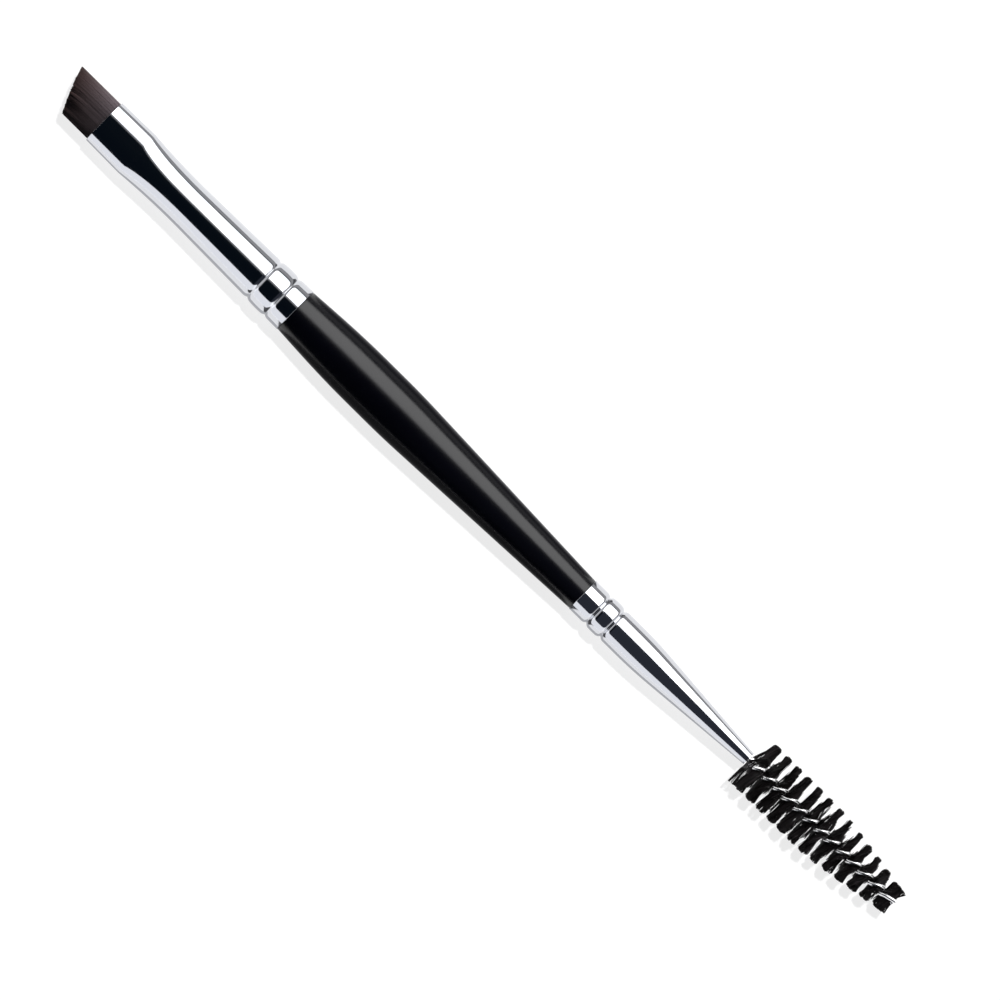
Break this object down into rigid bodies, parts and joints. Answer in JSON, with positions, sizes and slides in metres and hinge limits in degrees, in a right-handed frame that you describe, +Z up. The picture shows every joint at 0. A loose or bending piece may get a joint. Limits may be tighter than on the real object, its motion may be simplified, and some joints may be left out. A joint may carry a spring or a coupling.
{
  "type": "double-ended eyebrow brush",
  "caption": "Slim lacquered handle with an angled flat tuft in a crimped ferrule at one end and a twisted-wire spoolie in a tapered ferrule at the other.",
  "frame": {"origin": "middle of the brush's length, on the surface that it lies on, straight below its axis", "axes": "+X along the axis from the angled tuft towards the spoolie, +Y towards the toe of the tuft, +Z up"},
  "size_m": [0.165, 0.0085, 0.0085],
  "materials": {
    "black_lacquer": "gloss",
    "plated_sheet": "polished",
    "tuft_filament": "satin",
    "glue": "satin",
    "wire": "polished",
    "nylon_bristle": "satin"
  },
  "bodies": {
    "root": {"handle": "black_lacquer", "brush_ferrule": "plated_sheet", "bristle_tuft": "tuft_filament", "tuft_glue_plug": "glue", "spoolie_ferrule": "plated_sheet", "twisted_wire": "wire", "spoolie_bristles": "nylon_bristle", "spoolie_glue_plug": "glue"}
  },
  "joints": []
}
